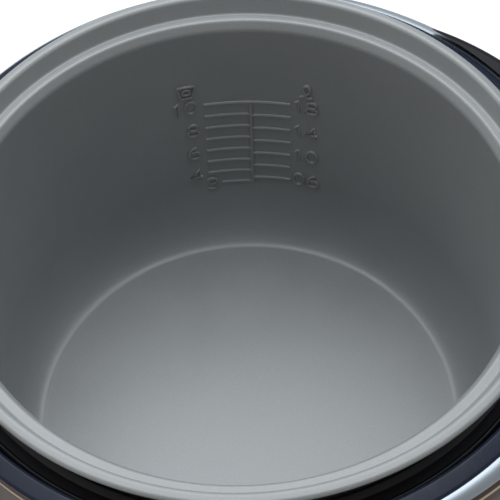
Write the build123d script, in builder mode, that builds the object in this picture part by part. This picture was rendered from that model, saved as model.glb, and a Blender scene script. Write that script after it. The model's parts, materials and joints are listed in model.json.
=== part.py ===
from build123d import *
import os
from math import cos, radians, sin

# Hinged-lid rice cooker with a 1.8 litre pot, lid open. Millimetres, +Z up, front towards -Y,
# hinge towards +Y. The origin is the middle of the footprint with the lid open.

# --- driving dimensions --------------------------------------------------------------------
AXIS_Y = -33.0        # the pot's upright axis crosses y here
POT_R = 112.0         # inside radius of the pot at the top of its wall
POT_DEPTH = 136.0     # top of the wall down to the floor
POT_T = 2.0           # thickness of the pot
FLOOR_FILLET = 20.0   # between wall and floor
WALL_TOP = 207.0      # height of the pot's wall top
LIP_R = 126.0         # outside radius of the pot's lip
LIP_RISE = 12.0       # lip above the wall top
DECK_R = 138.0        # outer radius of the glossy deck ring
DECK_TOP = 207.0      # height of the deck
SHELL_R = 143.4       # radius of the round body
SHELL_BACK = 5.6      # the body's centre is this far behind the pot's axis
SHELL_T = 1.0         # steel wall
SHELL_FOOT = 22.0     # lower edge of the steel wall
FOOT_H = 5.0          # rubber feet
HINGE_BACK = 156.0    # hinge axis behind the pot's axis
HINGE_Z = 216.0       # height of the hinge axis
LID_OPEN = 100.0      # degrees between closed and fully open
LID_H = 44.0          # top of the lid above the hinge axis, closed
PIN_R = 3.0           # hinge pin
RUN_FIT = 0.05        # radial clearance of a turning fit
GAP = 0.4             # kept between bodies that move past each other
SCREW_R = 2.0         # every screw shank

# --- frames --------------------------------------------------------------------------------
POT_AXIS = Axis((0, AXIS_Y, 0), (0, 0, 1))
POT_SIDE = Plane(origin=(0, AXIS_Y, 0), x_dir=(1, 0, 0), z_dir=(0, -1, 0))
SWING = radians(LID_OPEN)
LID = Plane(
    origin=(0, AXIS_Y + HINGE_BACK, HINGE_Z),
    x_dir=(1, 0, 0),
    z_dir=(0, sin(SWING), cos(SWING)),
)
LID_SIDE = Plane(
    origin=LID.from_local_coords((0, -HINGE_BACK, 0)), x_dir=(1, 0, 0), z_dir=-LID.y_dir
)
LID_AXIS = Axis(LID_SIDE.origin, LID.z_dir)
LID_BACK = SHELL_BACK - HINGE_BACK     # lid's centre in the lid's own frame
HINGE_FLAT = -9.0                      # back of the lid, in front of the hinge axis
MOUTH = -(HINGE_Z - WALL_TOP)          # the pot's wall top in the closed lid's frame


def level(height):
    """A horizontal plane on the pot's axis."""
    return Plane((0, AXIS_Y, height))


def lid_level(height):
    """A plane across the lid, height above the hinge axis when closed, on the pot's axis."""
    return Plane(LID.from_local_coords((0, -HINGE_BACK, height)), x_dir=(1, 0, 0), z_dir=LID.z_dir)


def turned(points, plane=POT_SIDE, axis=POT_AXIS, mode=Mode.ADD):
    """Revolve a closed outline of (radius, height) points."""
    with BuildSketch(plane) as section:
        with BuildLine():
            Polyline(*points, close=True)
        make_face()
    revolve(section.sketch, axis=axis, mode=mode)


def ring(r_in, r_out, low, high, mode=Mode.ADD):
    """A plain ring about the pot's axis."""
    turned([(r_in, low), (r_out, low), (r_out, high), (r_in, high)], mode=mode)


def rod(radius, low, high, places, mode=Mode.ADD):
    """Upright rods at (x, y) places measured from the pot's axis."""
    with BuildSketch(level(low)) as section:
        with Locations(*places):
            Circle(radius)
    extrude(section.sketch, amount=high - low, mode=mode)


def cross_rod(radius, half, y, z, mode=Mode.ADD):
    """A rod along X, y from the pot's axis."""
    with BuildSketch(Plane(origin=(0, AXIS_Y + y, z), x_dir=(0, 1, 0), z_dir=(1, 0, 0))) as section:
        Circle(radius)
    extrude(section.sketch, amount=half, both=True, mode=mode)


def slab(width, depth, low, high, y=0.0, x=0.0, corner=0.0, mode=Mode.ADD):
    """An upright block centred at (x, y) from the pot's axis, with rounded upright corners."""
    with BuildSketch(level(low)) as section:
        with Locations((x, y)):
            if corner:
                RectangleRounded(width, depth, corner)
            else:
                Rectangle(width, depth)
    extrude(section.sketch, amount=high - low, mode=mode)


def around(radius, count, start=0.0):
    """Places evenly spaced round the pot's axis."""
    turn = [radians(start + 360 * i / count) for i in range(count)]
    return [(radius * cos(a), radius * sin(a)) for a in turn]


def coil(plane, radius, wire_r, pitch, height):
    """A helical spring of round wire along the plane's normal."""
    with BuildLine() as path:
        Helix(pitch, height, radius, center=plane.origin, direction=plane.z_dir)
    with BuildSketch(Plane(path.line @ 0, z_dir=path.line % 0)) as wire:
        Circle(wire_r)
    sweep(wire.sketch, path=path.line, is_frenet=True)


def screws(plane, places, head_r, head_h, length):
    """Pan-head screws whose heads stand on the plane, shanks going below it."""
    with BuildSketch(plane) as heads:
        with Locations(*places):
            Circle(head_r)
    extrude(heads.sketch, amount=head_h)
    with BuildSketch(plane) as shanks:
        with Locations(*places):
            Circle(SCREW_R)
    extrude(shanks.sketch, amount=-length)


os.makedirs("parts", exist_ok=True)


def save(name, piece):
    """Label a finished sub-part and write it."""
    piece.part.label = name
    export_step(piece.part, f"parts/{name}.step")


# --- inner pot -----------------------------------------------------------------------------
POT_FLOOR = WALL_TOP - POT_DEPTH
FLOOR_R = POT_R - 3.4            # the wall tapers a little towards the floor
LEDGE_R, LEDGE_RISE = 118.0, 4.6
RISER_R, RISER_RISE = 120.4, LIP_RISE
LIP_DROP = 6.0                   # how far the lip's edge is rolled down

with BuildPart() as inner_pot:
    with BuildSketch(POT_SIDE) as pot_section:
        with BuildLine():
            inside = FilletPolyline(
                (0, POT_FLOOR),
                (FLOOR_R, POT_FLOOR),
                (POT_R, WALL_TOP),
                (LEDGE_R, WALL_TOP + LEDGE_RISE),
                (RISER_R, WALL_TOP + RISER_RISE),
                (LIP_R, WALL_TOP + RISER_RISE - 0.5),
                (LIP_R, WALL_TOP + RISER_RISE - LIP_DROP),
                radius=[FLOOR_FILLET, 3.0, 1.5, 1.8, 2.6],
            )
            outside = FilletPolyline(
                (LIP_R - POT_T, WALL_TOP + RISER_RISE - LIP_DROP),
                (LIP_R - POT_T, WALL_TOP + RISER_RISE - POT_T - 0.4),
                (RISER_R + 1.4, WALL_TOP + RISER_RISE - POT_T),
                (LEDGE_R + 1.2, WALL_TOP + LEDGE_RISE - POT_T),
                (POT_R + POT_T, WALL_TOP - 1.2),
                (FLOOR_R + POT_T, POT_FLOOR - POT_T),
                (0, POT_FLOOR - POT_T),
                radius=[0.6, 0.6, 1.5, 3.0, FLOOR_FILLET + POT_T],
            )
            Line(inside @ 1, outside @ 0)
            Line(outside @ 1, inside @ 0)
        make_face()
    revolve(axis=POT_AXIS)
save("inner_pot", inner_pot)
POT_UNDER = POT_FLOOR - POT_T

# --- pot well: casing, collar and deck ------------------------------------------------------
WELL_R = 117.0                   # inside radius of the aluminium can
WELL_T = 0.8
WELL_FLOOR = 52.0
WELL_RIM = 193.0
PLATE_R = 88.0

with BuildPart() as well_casing:
    ring(WELL_R, WELL_R + WELL_T, WELL_FLOOR, WELL_RIM)
    ring(PLATE_R + 3, WELL_R + WELL_T, WELL_FLOOR, WELL_FLOOR + WELL_T)
    ring(WELL_R, WELL_R + 4, WELL_RIM, WELL_RIM + WELL_T)
save("well_casing", well_casing)

COLLAR_TOP = WELL_RIM + WELL_T
RIDGE_R, RIDGE_TOP = 125.7, DECK_TOP - 10.5
GROOVE_R = 129.4
with BuildPart() as well_collar:
    turned([
        (WELL_R + 0.6, COLLAR_TOP),
        (WELL_R + 0.6, COLLAR_TOP + 3.6),
        (RIDGE_R - 5.0, COLLAR_TOP + 2.0),
        (RIDGE_R - 1.0, RIDGE_TOP - 0.6),
        (RIDGE_R, RIDGE_TOP),
        (RIDGE_R + 0.8, RIDGE_TOP - 0.6),
        (RIDGE_R + 1.4, COLLAR_TOP + 0.4),
        (GROOVE_R, COLLAR_TOP + 0.4),
        (GROOVE_R, COLLAR_TOP - 2.0),
        (WELL_R + 5.0, COLLAR_TOP - 2.0),
        (WELL_R + 5.0, COLLAR_TOP),
    ])
save("well_collar", well_collar)

DECK_IN = 131.0
DECK_T = 2.4
DECK_EDGE = 1.5                  # the deck's rim laps over the steel wall by this depth
with BuildPart() as deck_ring:
    turned([
        (GROOVE_R, COLLAR_TOP - 2.0),
        (GROOVE_R, COLLAR_TOP + 1.0),
        (DECK_IN - 0.6, DECK_TOP - 0.9),
        (DECK_IN, DECK_TOP - 0.3),
        (DECK_IN + 1.2, DECK_TOP),
        (DECK_R - 1.4, DECK_TOP),
        (DECK_R - 0.3, DECK_TOP - 0.4),
        (DECK_R, DECK_TOP - DECK_EDGE),
        (DECK_R - 1.6, DECK_TOP - DECK_EDGE),
        (DECK_R - 1.6, DECK_TOP - 6.0),
        (DECK_R - 1.6 - DECK_T, DECK_TOP - 6.0),
        (DECK_R - 1.6 - DECK_T, DECK_TOP - DECK_T),
        (DECK_IN + 2.2, DECK_TOP - DECK_T),
        (GROOVE_R + DECK_T, COLLAR_TOP - 2.0),
    ])
save("deck_ring", deck_ring)

# --- steel wall of the body ----------------------------------------------------------------
SHOULDER = [(1.0, 15.0), (0.8, 8.0), (0.45, 3.0), (0.0, 0.0)]  # (share of the growth, drop)


def body_of(shrink, mode=Mode.ADD):
    """The round body and its shoulder, which blends from the deck's circle to the wall's."""
    with BuildSketch(level(SHELL_FOOT)) as wall:
        with Locations((0, SHELL_BACK)):
            Circle(SHELL_R - shrink)
    extrude(wall.sketch, amount=DECK_TOP - SHOULDER[0][1] - SHELL_FOOT, mode=mode)
    rounds = []
    for share, drop in SHOULDER:
        with BuildSketch(level(DECK_TOP - drop)) as cross_section:
            with Locations((0, SHELL_BACK * share)):
                Circle(DECK_R + 0.3 + (SHELL_R - DECK_R - 0.3) * share - shrink)
        rounds.append(cross_section.sketch)
    loft(rounds, mode=mode)


with BuildPart() as body_blank:
    body_of(0.0)

PANEL_W, PANEL_CORNER = 150.0, 44.0
PANEL_FRONT = -168.0             # foremost line of the front housing, from the pot's axis
PANEL_BEND = 100.0               # height of that line
PANEL_TOP_Y, PANEL_TOP = -156.0, 200.0
HOUSING_TOP = 203.0
PANEL_T = 2.5
PORT_W, PORT_H, PORT_Z = 34.0, 24.0, 52.0  # opening for the power inlet, in the rear

with BuildPart() as body_shell:
    body_of(0.0)
    body_of(SHELL_T, mode=Mode.SUBTRACT)
    ring(0, SHELL_R, DECK_TOP - DECK_EDGE, DECK_TOP + 1, mode=Mode.SUBTRACT)
    slab(PORT_W, 40, PORT_Z - PORT_H / 2, PORT_Z + PORT_H / 2, y=150, mode=Mode.SUBTRACT)
    slab(60, 30, 108, 178, y=-140, mode=Mode.SUBTRACT)  # wiring window behind the panel
save("body_shell", body_shell)

# --- base ----------------------------------------------------------------------------------
BASE_R = 141.6
BASE_T = 2.5
FOOT_PLACES = [(x, y) for x in (-84, 84) for y in (-78, 92)]
BASE_SCREW_PLACES = around(124, 4, start=0)
POST_PLACES = around(76, 3, start=30)

with BuildPart() as base_cover:
    for low, high, shrink, mode in (
        (FOOT_H - 1, SHELL_FOOT, 0.0, Mode.ADD),
        (FOOT_H - 1 + BASE_T, SHELL_FOOT, BASE_T, Mode.SUBTRACT),
    ):
        with BuildSketch(level(low)) as disc:
            with Locations((0, SHELL_BACK)):
                Circle(BASE_R - shrink)
        extrude(disc.sketch, amount=high - low, mode=mode)
    with BuildSketch(level(SHELL_FOOT)) as seat:
        with Locations((0, SHELL_BACK)):
            Circle(BASE_R + 0.6)
            Circle(BASE_R - BASE_T, mode=Mode.SUBTRACT)
    extrude(seat.sketch, amount=-3)
    slab(112, 40, FOOT_H - 1, SHELL_FOOT, y=-128, corner=12)   # below the front housing
    slab(106, 36, FOOT_H - 1 + BASE_T, SHELL_FOOT, y=-127, corner=9, mode=Mode.SUBTRACT)
    with BuildSketch(level(FOOT_H - 1)) as vents:
        with PolarLocations(96, 28):
            SlotOverall(15, 4)
        with PolarLocations(76, 22):
            SlotOverall(12, 4)
    extrude(vents.sketch, amount=BASE_T, mode=Mode.SUBTRACT)
    rod(7, FOOT_H - 1 + BASE_T, SHELL_FOOT, POST_PLACES)
    rod(SCREW_R, FOOT_H - 1, SHELL_FOOT, POST_PLACES, mode=Mode.SUBTRACT)
    rod(9.4, FOOT_H - 2, FOOT_H - 0.5, FOOT_PLACES, mode=Mode.SUBTRACT)
save("base_cover", base_cover)

with BuildPart() as rubber_feet:
    rod(9, 0, FOOT_H - 0.5, FOOT_PLACES)
    chamfer(rubber_feet.edges().group_by(Axis.Z)[0], 1.2)
save("rubber_feet", rubber_feet)

with BuildPart() as base_screws:
    screws(level(FOOT_H - 1).rotated((180, 0, 0)), [(x, -y) for x, y in POST_PLACES], 3.6, 1.8, 22)
save("base_screws", base_screws)

# --- heater --------------------------------------------------------------------------------
PLATE_TOP = POT_UNDER - GAP
PLATE_T = 9.0
ELEMENT_R, ELEMENT_WIRE = 62.0, 3.6
TERMINALS = [(ELEMENT_R * cos(a), ELEMENT_R * sin(a)) for a in (radians(5), radians(340))]
SENSOR_R = 17.0
POST_TOP = PLATE_TOP - PLATE_T

with BuildPart() as hot_plate:
    turned([
        (SENSOR_R + 2.5, POST_TOP),
        (SENSOR_R + 2.5, PLATE_TOP - 1),
        (SENSOR_R + 3.5, PLATE_TOP),
        (PLATE_R - 2, PLATE_TOP),
        (PLATE_R, PLATE_TOP - 2),
        (PLATE_R, POST_TOP + 3),
        (PLATE_R - 4, POST_TOP),
    ])
    with BuildSketch(POT_SIDE) as groove:
        with Locations((ELEMENT_R, POST_TOP)):
            Circle(ELEMENT_WIRE)
    revolve(groove.sketch, axis=POT_AXIS, mode=Mode.SUBTRACT)
save("hot_plate", hot_plate)

with BuildPart() as heating_element:
    with BuildSketch(POT_SIDE) as wire_section:
        with Locations((ELEMENT_R, POST_TOP)):
            Circle(ELEMENT_WIRE)
    revolve(wire_section.sketch, axis=POT_AXIS, revolution_arc=345)
    rod(2.2, POST_TOP - 14, POST_TOP, TERMINALS)
save("heating_element", heating_element)

SHIELD_Z = 40.0
with BuildPart() as heat_shield:
    ring(26, PLATE_R + 6, SHIELD_Z, SHIELD_Z + 0.8)
    ring(PLATE_R + 5.2, PLATE_R + 6, SHIELD_Z, WELL_FLOOR - 1)
    rod(7, SHIELD_Z, SHIELD_Z + 2, POST_PLACES, mode=Mode.SUBTRACT)
    rod(4, SHIELD_Z, SHIELD_Z + 2, TERMINALS, mode=Mode.SUBTRACT)
save("heat_shield", heat_shield)

with BuildPart() as plate_posts:
    rod(5.5, SHELL_FOOT, POST_TOP, POST_PLACES)
    rod(SCREW_R, SHELL_FOOT, SHELL_FOOT + 6, POST_PLACES, mode=Mode.SUBTRACT)
save("plate_posts", plate_posts)

with BuildPart() as side_heater:
    ring(WELL_R + WELL_T + 0.1, WELL_R + WELL_T + 1.6, 96, 134)
    slab(26, 6, 104, 126, y=WELL_R + WELL_T + 4)
save("side_heater", side_heater)

# --- temperature sensor in the middle of the plate -----------------------------------------
CAP_T = 2.0
SENSOR_TRAVEL = 2.5
STEM_R = 5.0
CAN_R = 15.0
CAN_TOP = PLATE_TOP - 12
with BuildPart() as sensor_cap:
    rod(SENSOR_R, PLATE_TOP - CAP_T, PLATE_TOP, [(0, 0)])
    fillet(sensor_cap.edges().group_by(Axis.Z)[-1], 0.8)
    rod(STEM_R, PLATE_TOP - 22, PLATE_TOP - CAP_T, [(0, 0)])
save("sensor_cap", sensor_cap)

with BuildPart() as sensor_housing:
    ring(STEM_R + GAP, CAN_R, CAN_TOP - 2, CAN_TOP)
    ring(CAN_R - 1.2, CAN_R, 26, CAN_TOP)
    ring(0, CAN_R, 24.5, 26)
    ring(CAN_R, SENSOR_R + 8, CAN_TOP - 2, CAN_TOP - 0.5)
save("sensor_housing", sensor_housing)

with BuildPart() as sensor_spring:
    coil(level(CAN_TOP + 0.9), 9, 0.7, 2.2, PLATE_TOP - CAP_T - CAN_TOP - 2.0)
save("sensor_spring", sensor_spring)

with BuildPart() as thermal_fuse:
    slab(8, 24, SHIELD_Z - 5, SHIELD_Z - 0.2, x=46, y=-20)
    rod(1.0, SHIELD_Z - 3.4, SHIELD_Z - 1.6, [(46, -38)])
save("thermal_fuse", thermal_fuse)

# --- electrics -----------------------------------------------------------------------------
BOARD_Z = 15.0
BOARD_X, BOARD_Y = 0.0, 98.0
with BuildPart() as power_board:
    slab(92, 46, BOARD_Z, BOARD_Z + 1.6, x=BOARD_X, y=BOARD_Y)
save("power_board", power_board)
with BuildPart() as board_parts:
    slab(26, 24, BOARD_Z + 1.6, BOARD_Z + 22, x=-26, y=BOARD_Y)           # transformer
    slab(16, 13, BOARD_Z + 1.6, BOARD_Z + 17, x=6, y=BOARD_Y + 8)         # relay
    rod(5.5, BOARD_Z + 1.6, BOARD_Z + 20, [(26, BOARD_Y - 8), (26, BOARD_Y + 8)])
save("board_parts", board_parts)

with BuildPart() as inlet_socket:
    slab(PORT_W - 1, 22, PORT_Z - PORT_H / 2 + 0.5, PORT_Z + PORT_H / 2 - 0.5, y=164, corner=3)
    slab(PORT_W - 6, 16, PORT_Z - 8, PORT_Z + 8, y=168, mode=Mode.SUBTRACT)
save("inlet_socket", inlet_socket)
PIN_PLACES = [(-6.5, 0), (6.5, 0)]
with BuildPart() as inlet_pins:
    with BuildSketch(Plane(origin=(0, AXIS_Y + 160, PORT_Z), x_dir=(1, 0, 0), z_dir=(0, 1, 0))) as pins:
        with Locations(*PIN_PLACES):
            Circle(2.0)
    extrude(pins.sketch, amount=12)
save("inlet_pins", inlet_pins)

# --- rear cover with the hinge ears --------------------------------------------------------
REAR_W, REAR_D, REAR_BACK = 120.0, 70.0, 176.0
REAR_CORNER = 16.0
CREST_R, CREST_BACK = 119.5, 31.3  # black crescent over the shoulder, widest at the hinge
EAR_R = 8.0
EAR_IN, EAR_OUT = 43.0, 52.0
CREST_HALF = 45                  # degrees either side of the hinge
BACK_FACE = Plane(origin=(0, AXIS_Y + REAR_BACK, 0), x_dir=(-1, 0, 0), z_dir=(0, 1, 0))
REAR_SCREW_PLACES = [(-41, 40), (41, 40), (-41, 180), (41, 180)]
CUP_W, CUP_D, CUP_H, CUP_Z = 60.0, 22.0, 34.0, 150.0  # pocket for the dew cup

with BuildPart() as rear_cover:
    with BuildSketch(level(SHELL_FOOT)) as block:
        with Locations((0, REAR_BACK - REAR_D / 2)):
            RectangleRounded(REAR_W, REAR_D, REAR_CORNER)
    extrude(block.sketch, amount=DECK_TOP - SHELL_FOOT)
    fillet(rear_cover.faces().sort_by(Axis.Z)[-1].edges(), 5)
    with BuildSketch(level(0)) as wedge:
        with BuildLine():
            Polyline(
                (0, 0),
                (260 * sin(radians(CREST_HALF)), 260 * cos(radians(CREST_HALF))),
                (0, 400),
                (-260 * sin(radians(CREST_HALF)), 260 * cos(radians(CREST_HALF))),
                close=True,
            )
        make_face()
    with BuildSketch(POT_SIDE) as crest:
        with BuildLine():
            corner = FilletPolyline(
                (CREST_R - 14, DECK_TOP - 14), (CREST_R - 14, DECK_TOP), (CREST_R, DECK_TOP),
                (CREST_R, DECK_TOP - 14), radius=[0.1, 4.0],
            )
            Line(corner @ 1, corner @ 0)
        make_face()
    crest_axis = Axis((0, AXIS_Y + CREST_BACK, 0), (0, 0, 1))
    crescent = revolve(crest.sketch.moved(Location((0, CREST_BACK, 0))), axis=crest_axis, mode=Mode.PRIVATE)
    sector = extrude(wedge.sketch, amount=DECK_TOP + 10, mode=Mode.PRIVATE)
    add(crescent & sector)
    add(body_blank.part, mode=Mode.SUBTRACT)
    ring(0, DECK_R + 0.3, DECK_TOP - 16, DECK_TOP + 1, mode=Mode.SUBTRACT)
    slab(REAR_W - 6, 60, SHELL_FOOT + 3, DECK_TOP - 4, y=REAR_BACK - 33, corner=REAR_CORNER - 3, mode=Mode.SUBTRACT)
    slab(CUP_W + 3, 8, CUP_Z - CUP_H, CUP_Z, y=REAR_BACK, mode=Mode.SUBTRACT)
    slab(PORT_W - 0.6, 20, PORT_Z - PORT_H / 2 + 0.3, PORT_Z + PORT_H / 2 - 0.3, y=REAR_BACK,
         mode=Mode.SUBTRACT)
    for side in (-1, 1):
        middle = side * (EAR_IN + EAR_OUT) / 2
        slab(EAR_OUT - EAR_IN, 2 * EAR_R, DECK_TOP - 2, HINGE_Z, x=middle, y=HINGE_BACK)
        with BuildSketch(Plane(origin=(middle, AXIS_Y + HINGE_BACK, HINGE_Z), x_dir=(0, 1, 0),
                               z_dir=(1, 0, 0))) as ear:
            Circle(EAR_R)
        extrude(ear.sketch, amount=(EAR_OUT - EAR_IN) / 2, both=True)
    cross_rod(PIN_R + RUN_FIT, EAR_OUT + 1, HINGE_BACK, HINGE_Z, mode=Mode.SUBTRACT)
    with BuildSketch(BACK_FACE) as screw_holes:
        with Locations(*REAR_SCREW_PLACES):
            Circle(SCREW_R + 0.1)
    extrude(screw_holes.sketch, amount=-6, mode=Mode.SUBTRACT)
save("rear_cover", rear_cover)

with BuildPart() as hinge_pin:
    cross_rod(PIN_R, EAR_OUT + 1.5, HINGE_BACK, HINGE_Z)
    chamfer(hinge_pin.edges(), 0.6)
save("hinge_pin", hinge_pin)

with BuildPart() as rear_screws:
    screws(BACK_FACE, REAR_SCREW_PLACES, 3.4, 1.6, 24)
save("rear_screws", rear_screws)

with BuildPart() as dew_cup:
    slab(CUP_W, CUP_D, CUP_Z - CUP_H + GAP, CUP_Z - GAP, y=REAR_BACK - CUP_D / 2 + 1.5, corner=4)
    slab(CUP_W - 4, CUP_D - 4, CUP_Z - CUP_H + 2.4, CUP_Z, y=REAR_BACK - CUP_D / 2 + 1.5, corner=3,
         mode=Mode.SUBTRACT)
    slab(24, 5, CUP_Z - 6, CUP_Z - GAP, y=REAR_BACK + 3.6, corner=2)   # finger lip
save("dew_cup", dew_cup)

# --- front housing, control face -----------------------------------------------------------
PANEL_DEPTH = 120.0
TILT = (PANEL_TOP_Y - PANEL_FRONT) / (PANEL_TOP - PANEL_BEND)
SLOPE = (1 + TILT * TILT) ** 0.5
FACE = Plane(
    origin=(0, AXIS_Y + PANEL_FRONT, PANEL_BEND), x_dir=(1, 0, 0), z_dir=(0, -1 / SLOPE, TILT / SLOPE)
)


def on_face(width, height, x, up, back, front, corner=2.0, mode=Mode.ADD):
    """A block standing through the control face, from back to front of its surface."""
    with BuildSketch(FACE.offset(back)) as section:
        with Locations((x, up)):
            RectangleRounded(width, height, corner)
    extrude(section.sketch, amount=front - back, mode=mode)


def housing_of(shrink):
    """The solid shape of the front housing."""
    with BuildSketch(level(SHELL_FOOT)) as plan:
        with Locations((0, PANEL_FRONT + PANEL_DEPTH / 2)):
            RectangleRounded(PANEL_W - 2 * shrink, PANEL_DEPTH - 2 * shrink, PANEL_CORNER - shrink)
    upright = extrude(plan.sketch, amount=HOUSING_TOP - SHELL_FOOT, mode=Mode.PRIVATE)
    with BuildSketch(Plane(origin=(0, AXIS_Y, 0), x_dir=(0, 1, 0), z_dir=(1, 0, 0))) as side:
        with BuildLine():
            Polyline(
                (PANEL_FRONT + 18 + shrink, SHELL_FOOT + shrink),
                (PANEL_FRONT + shrink, PANEL_BEND),
                (PANEL_TOP_Y + shrink, PANEL_TOP),
                (PANEL_TOP_Y + 3 + shrink, HOUSING_TOP - shrink),
                (0, HOUSING_TOP - shrink),
                (0, SHELL_FOOT + shrink),
                close=True,
            )
        make_face()
    across = extrude(side.sketch, amount=PANEL_W, both=True, mode=Mode.PRIVATE)
    return upright & across


DISPLAY = (60.0, 26.0, 0.0, 46.0)                       # width, height, x, up the face
BUTTONS = {
    "cancel_button": (20.0, 9.0, -26.0, 16.0),
    "menu_button": (20.0, 9.0, 0.0, 16.0),
    "start_button": (20.0, 9.0, 26.0, 16.0),
    "hour_button": (14.0, 7.0, -12.0, 70.0),
    "minute_button": (14.0, 7.0, 12.0, 70.0),
}
OPENER = (40.0, 9.0, 0.0, 88.0)
PRESS = 1.0                                             # travel of a panel button
FLANGE = 1.5                                            # button flange beyond its cap
HOOK_W, HOOK_T = 14.0, 2.2
HOOK_Y = -147.6                                         # front of the hook's plate
HOOK_Z = 162.0                                          # its pivot
HOOK_TOP = 214.0
CATCH_Z = HOOK_TOP - 2.7                                # underside of the hook's nose
NOSE = 3.0                                              # reach of the hook's nose
HOOK_PIN_R = 2.0

with BuildPart() as front_panel:
    add(housing_of(0.0))
    add(housing_of(PANEL_T), mode=Mode.SUBTRACT)
    add(body_blank.part, mode=Mode.SUBTRACT)
    ring(0, DECK_R + 0.3, DECK_TOP - 16, DECK_TOP + 1, mode=Mode.SUBTRACT)
    slab(400, 300, 0, DECK_TOP + 1, y=38, mode=Mode.SUBTRACT)   # only the part in front of the body
    for width, height, x, up in BUTTONS.values():
        on_face(width + 2 * GAP, height + 2 * GAP, x, up, -PANEL_T - 2, 2, mode=Mode.SUBTRACT)
    width, height, x, up = OPENER
    on_face(width + 2 * GAP, height + 2 * GAP, x, up, -PANEL_T - 2, 2, mode=Mode.SUBTRACT)
    width, height, x, up = DISPLAY
    on_face(width - 3, height - 3, x, up, -PANEL_T - 2, 2, mode=Mode.SUBTRACT)
    on_face(width, height, x, up, -1.2, 2, mode=Mode.SUBTRACT)
    slab(HOOK_W + 4, 13, PANEL_TOP - 4, HOUSING_TOP + 1, y=-147, mode=Mode.SUBTRACT)
save("front_panel", front_panel)

with BuildPart() as display_window:
    width, height, x, up = DISPLAY
    on_face(width - 0.2, height - 0.2, x, up, -1.2, 0.1)
save("display_window", display_window)

with BuildPart() as display_module:
    on_face(DISPLAY[0] - 4, DISPLAY[1] - 4, DISPLAY[2], DISPLAY[3], -6.8, -1.3)
save("display_module", display_module)

BOARD_FACE = -6.9
with BuildPart() as control_board:
    on_face(92, 74, 0, 43, BOARD_FACE - 1.6, BOARD_FACE)
    for width, height, x, up in BUTTONS.values():
        on_face(6, 6, x, up, BOARD_FACE, -PANEL_T - 0.3 - 1.0 - PRESS - GAP, corner=0.6)
save("control_board", control_board)

for name, (width, height, x, up) in BUTTONS.items():
    with BuildPart() as button:
        on_face(width, height, x, up, -PANEL_T - 1.3, 1.2)
        fillet(button.faces().sort_by(Axis((0, 0, 0), FACE.z_dir))[-1].edges(), 0.5)
        on_face(width + 2 * FLANGE, height + 2 * FLANGE, x, up, -PANEL_T - 1.3, -PANEL_T - 0.3)
    save(name, button)

with BuildPart() as open_button:
    width, height, x, up = OPENER
    on_face(width, height, x, up, -PANEL_T - 1.8, 1.5)
    fillet(open_button.faces().sort_by(Axis((0, 0, 0), FACE.z_dir))[-1].edges(), 0.6)
    on_face(width + 2 * FLANGE, height + 2 * FLANGE, x, up, -PANEL_T - 1.8, -PANEL_T - 0.3)
    on_face(8, 4, x, up, -9.2, -PANEL_T - 1.8, corner=1)
save("open_button", open_button)

with BuildPart() as latch_hook:
    slab(HOOK_W, HOOK_T, HOOK_Z, HOOK_TOP, y=HOOK_Y + HOOK_T / 2)
    slab(HOOK_W, NOSE, CATCH_Z, HOOK_TOP, y=HOOK_Y - NOSE / 2)
    chamfer(latch_hook.edges().filter_by(Axis.X).group_by(Axis.Z)[-1].sort_by(Axis.Y)[0], 2.0)
    cross_rod(4, HOOK_W / 2, HOOK_Y + HOOK_T / 2, HOOK_Z)
    cross_rod(HOOK_PIN_R + RUN_FIT, HOOK_W, HOOK_Y + HOOK_T / 2, HOOK_Z, mode=Mode.SUBTRACT)
save("latch_hook", latch_hook)

with BuildPart() as hook_bracket:
    slab(24, 1.4, HOOK_Z - 12, HOOK_Z + 12, y=-138.6)
    for x in (-9.5, 9.5):
        slab(1.6, 12, HOOK_Z - 7, HOOK_Z + 7, x=x, y=-144.7)
    cross_rod(HOOK_PIN_R + RUN_FIT, 20, HOOK_Y + HOOK_T / 2, HOOK_Z, mode=Mode.SUBTRACT)
save("hook_bracket", hook_bracket)
with BuildPart() as latch_pin:
    cross_rod(HOOK_PIN_R, 11.5, HOOK_Y + HOOK_T / 2, HOOK_Z)
save("latch_pin", latch_pin)
with BuildPart() as latch_spring:
    coil(Plane(origin=(0, AXIS_Y + HOOK_Y + HOOK_T + 0.8, HOOK_Z + 18), x_dir=(1, 0, 0), z_dir=(0, 1, 0)),
         3.0, 0.4, 1.5, 5.6)
save("latch_spring", latch_spring)

# --- lid -----------------------------------------------------------------------------------
LID_UNDER = MOUTH + 0.6          # lower edge of the closed lid, just above the deck
LID_T = 2.5
NOSE_TOP = 17.0
LID_FRONT = -158.0
LID_REAR = HINGE_BACK + HINGE_FLAT       # straight rear edge of the lid
NECK_W, NECK_TOP = 2 * EAR_IN - 1.0, 12.0  # square neck between the ears
STEAM_Y = 60.0                   # steam outlet behind the pot's axis
STEAM_R = 20.0
LID_SCREW_PLACES = [(-52, -138), (52, -138), (-104, 92), (104, 92)]
PAN_R = 128.8                    # recess in the lid that clears the pot's lip
PAN_ROOF = 5.0


def lid_turned(points, mode=Mode.ADD):
    """Revolve an outline about the pot's axis as the closed lid sees it."""
    turned(points, plane=LID_SIDE, axis=LID_AXIS, mode=mode)


def lid_disc(radius, low, high, x=0.0, y=0.0, mode=Mode.ADD):
    """A disc across the lid."""
    with BuildSketch(lid_level(low)) as section:
        with Locations((x, y)):
            Circle(radius)
    extrude(section.sketch, amount=high - low, mode=mode)


def lid_block(width, depth, low, high, x=0.0, y=0.0, corner=0.0, mode=Mode.ADD):
    """A block across the lid."""
    with BuildSketch(lid_level(low)) as section:
        with Locations((x, y)):
            if corner:
                RectangleRounded(width, depth, corner)
            else:
                Rectangle(width, depth)
    extrude(section.sketch, amount=high - low, mode=mode)


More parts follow.
